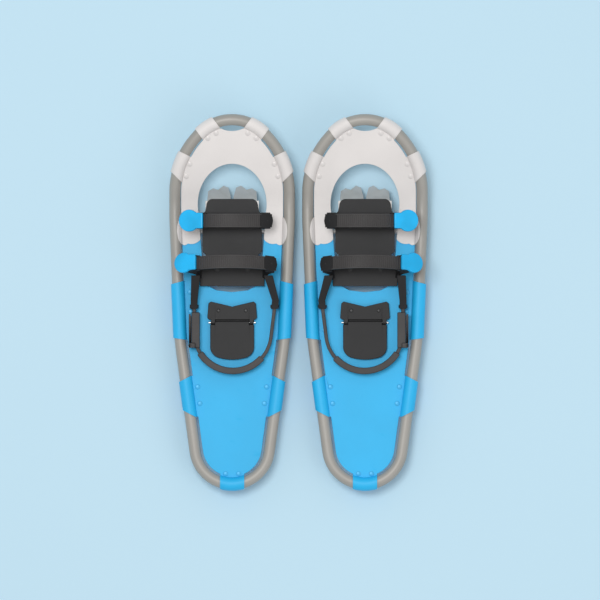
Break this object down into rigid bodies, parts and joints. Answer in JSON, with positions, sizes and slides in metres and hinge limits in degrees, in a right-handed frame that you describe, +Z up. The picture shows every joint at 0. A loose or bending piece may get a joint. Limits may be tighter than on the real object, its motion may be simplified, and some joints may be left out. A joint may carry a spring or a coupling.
{
  "type": "snowshoes",
  "caption": "Pair of tubular-frame snowshoes with two-tone decks, pivoting ratchet-strap bindings, toe and heel crampons and flip-up heel lifters.",
  "frame": {"origin": "on the ground midway between the two shoes, in the plane of the crampon points", "axes": "+X across the pair, +Y towards the toes, +Z up"},
  "size_m": [0.436, 0.635, 0.1221],
  "materials": {
    "tube": "satin painted aluminium tube",
    "deck_white": "coated off-white deck sheet",
    "deck_blue": "coated blue deck sheet",
    "rivet": "aluminium rivet",
    "steel": "zinc plated steel",
    "black_plastic": "black moulded plastic",
    "strap": "dark grey moulded strap",
    "paddle": "blue moulded plastic",
    "bush": "white acetal bush"
  },
  "bodies": {
    "left_frame": {"left_frame_tube": "tube", "left_tail_plug": "black_plastic", "left_front_deck": "deck_white", "left_rear_deck": "deck_blue", "left_deck_rivets": "rivet", "left_pivot_clamps": "black_plastic", "left_pivot_axle": "steel", "left_heel_plate": "black_plastic", "left_lifter_pin": "steel", "left_heel_crampon": "steel"},
    "left_binding": {"left_pivot_bushings": "bush", "left_toe_crampon": "steel", "left_binding_plate": "black_plastic", "left_toe_harness": "black_plastic", "left_heel_yoke": "black_plastic", "left_binding_rivets": "rivet", "left_toe_strap": "strap", "left_instep_strap": "strap", "left_toe_buckle_base": "black_plastic", "left_instep_buckle_base": "black_plastic", "left_buckle_pins": "steel", "left_heel_strap": "strap", "left_heel_pad": "strap", "left_heel_buckle": "strap"},
    "left_lifter": {"left_heel_lifter": "black_plastic"},
    "left_toe_lever": {"left_toe_buckle_lever": "paddle"},
    "left_instep_lever": {"left_instep_buckle_lever": "paddle"},
    "left_toe_pawl": {"left_toe_buckle_pawl": "black_plastic"},
    "left_instep_pawl": {"left_instep_buckle_pawl": "black_plastic"},
    "left_heel_lever": {"left_heel_buckle_lever": "strap"},
    "right_frame": {"right_frame_tube": "tube", "right_tail_plug": "black_plastic", "right_front_deck": "deck_white", "right_rear_deck": "deck_blue", "right_deck_rivets": "rivet", "right_pivot_clamps": "black_plastic", "right_pivot_axle": "steel", "right_heel_plate": "black_plastic", "right_lifter_pin": "steel", "right_heel_crampon": "steel"},
    "right_binding": {"right_pivot_bushings": "bush", "right_toe_crampon": "steel", "right_binding_plate": "black_plastic", "right_toe_harness": "black_plastic", "right_heel_yoke": "black_plastic", "right_binding_rivets": "rivet", "right_toe_strap": "strap", "right_instep_strap": "strap", "right_toe_buckle_base": "black_plastic", "right_instep_buckle_base": "black_plastic", "right_buckle_pins": "steel", "right_heel_strap": "strap", "right_heel_pad": "strap", "right_heel_buckle": "strap"},
    "right_lifter": {"right_heel_lifter": "black_plastic"},
    "right_toe_lever": {"right_toe_buckle_lever": "paddle"},
    "right_instep_lever": {"right_instep_buckle_lever": "paddle"},
    "right_toe_pawl": {"right_toe_buckle_pawl": "black_plastic"},
    "right_instep_pawl": {"right_instep_buckle_pawl": "black_plastic"},
    "right_heel_lever": {"right_heel_buckle_lever": "strap"}
  },
  "joints": [
    {"name": "left_toe_pivot", "type": "hinge", "parent": "left_frame", "child": "left_binding", "pos_m": [-0.112, 0.12, 0.0315], "axis": [-1, 0, 0], "range_deg": [0, 40]},
    {"name": "left_lifter_hinge", "type": "hinge", "parent": "left_frame", "child": "left_lifter", "pos_m": [-0.112, -0.0335, 0.0433], "axis": [-1, 0, 0], "range_deg": [0, 85]},
    {"name": "left_toe_lever_hinge", "type": "hinge", "parent": "left_binding", "child": "left_toe_lever", "pos_m": [-0.16443, 0.138, 0.10065], "axis": [0, 1, 0], "range_deg": [0, 60]},
    {"name": "left_instep_lever_hinge", "type": "hinge", "parent": "left_binding", "child": "left_instep_lever", "pos_m": [-0.17582, 0.06745, 0.10892], "axis": [0, 0.9816, -0.1908], "range_deg": [0, 60]},
    {"name": "left_toe_pawl_hinge", "type": "hinge", "parent": "left_binding", "child": "left_toe_pawl", "pos_m": [-0.17934, 0.138, 0.09224], "axis": [0, -1, 0], "range_deg": [0, 15], "stiffness_Nm_per_rad": 0.02, "springref_deg": -17.19},
    {"name": "left_instep_pawl_hinge", "type": "hinge", "parent": "left_binding", "child": "left_instep_pawl", "pos_m": [-0.19007, 0.06564, 0.0996], "axis": [0, -0.9816, 0.1908], "range_deg": [0, 15], "stiffness_Nm_per_rad": 0.02, "springref_deg": -17.19},
    {"name": "left_heel_lever_hinge", "type": "hinge", "parent": "left_binding", "child": "left_heel_lever", "pos_m": [-0.18275, -0.072, 0.055], "axis": [0, 0, 1], "range_deg": [0, 60]},
    {"name": "right_toe_pivot", "type": "hinge", "parent": "right_frame", "child": "right_binding", "pos_m": [0.112, 0.12, 0.0315], "axis": [-1, 0, 0], "range_deg": [0, 40]},
    {"name": "right_lifter_hinge", "type": "hinge", "parent": "right_frame", "child": "right_lifter", "pos_m": [0.112, -0.0335, 0.0433], "axis": [-1, 0, 0], "range_deg": [0, 85]},
    {"name": "right_toe_lever_hinge", "type": "hinge", "parent": "right_binding", "child": "right_toe_lever", "pos_m": [0.16443, 0.138, 0.10065], "axis": [0, -1, 0], "range_deg": [0, 60]},
    {"name": "right_instep_lever_hinge", "type": "hinge", "parent": "right_binding", "child": "right_instep_lever", "pos_m": [0.17582, 0.06745, 0.10892], "axis": [0, -0.9816, 0.1908], "range_deg": [0, 60]},
    {"name": "right_toe_pawl_hinge", "type": "hinge", "parent": "right_binding", "child": "right_toe_pawl", "pos_m": [0.17934, 0.138, 0.09224], "axis": [0, 1, 0], "range_deg": [0, 15], "stiffness_Nm_per_rad": 0.02, "springref_deg": -17.19},
    {"name": "right_instep_pawl_hinge", "type": "hinge", "parent": "right_binding", "child": "right_instep_pawl", "pos_m": [0.19007, 0.06564, 0.0996], "axis": [0, 0.9816, -0.1908], "range_deg": [0, 15], "stiffness_Nm_per_rad": 0.02, "springref_deg": -17.19},
    {"name": "right_heel_lever_hinge", "type": "hinge", "parent": "right_binding", "child": "right_heel_lever", "pos_m": [0.18275, -0.072, 0.055], "axis": [0, 0, -1], "range_deg": [0, 60]},
    {"name": "right_shoe_lift", "type": "slide", "parent": "left_frame", "child": "right_frame", "axis": [0, 0, 1], "range_m": [0, 0.25]}
  ]
}
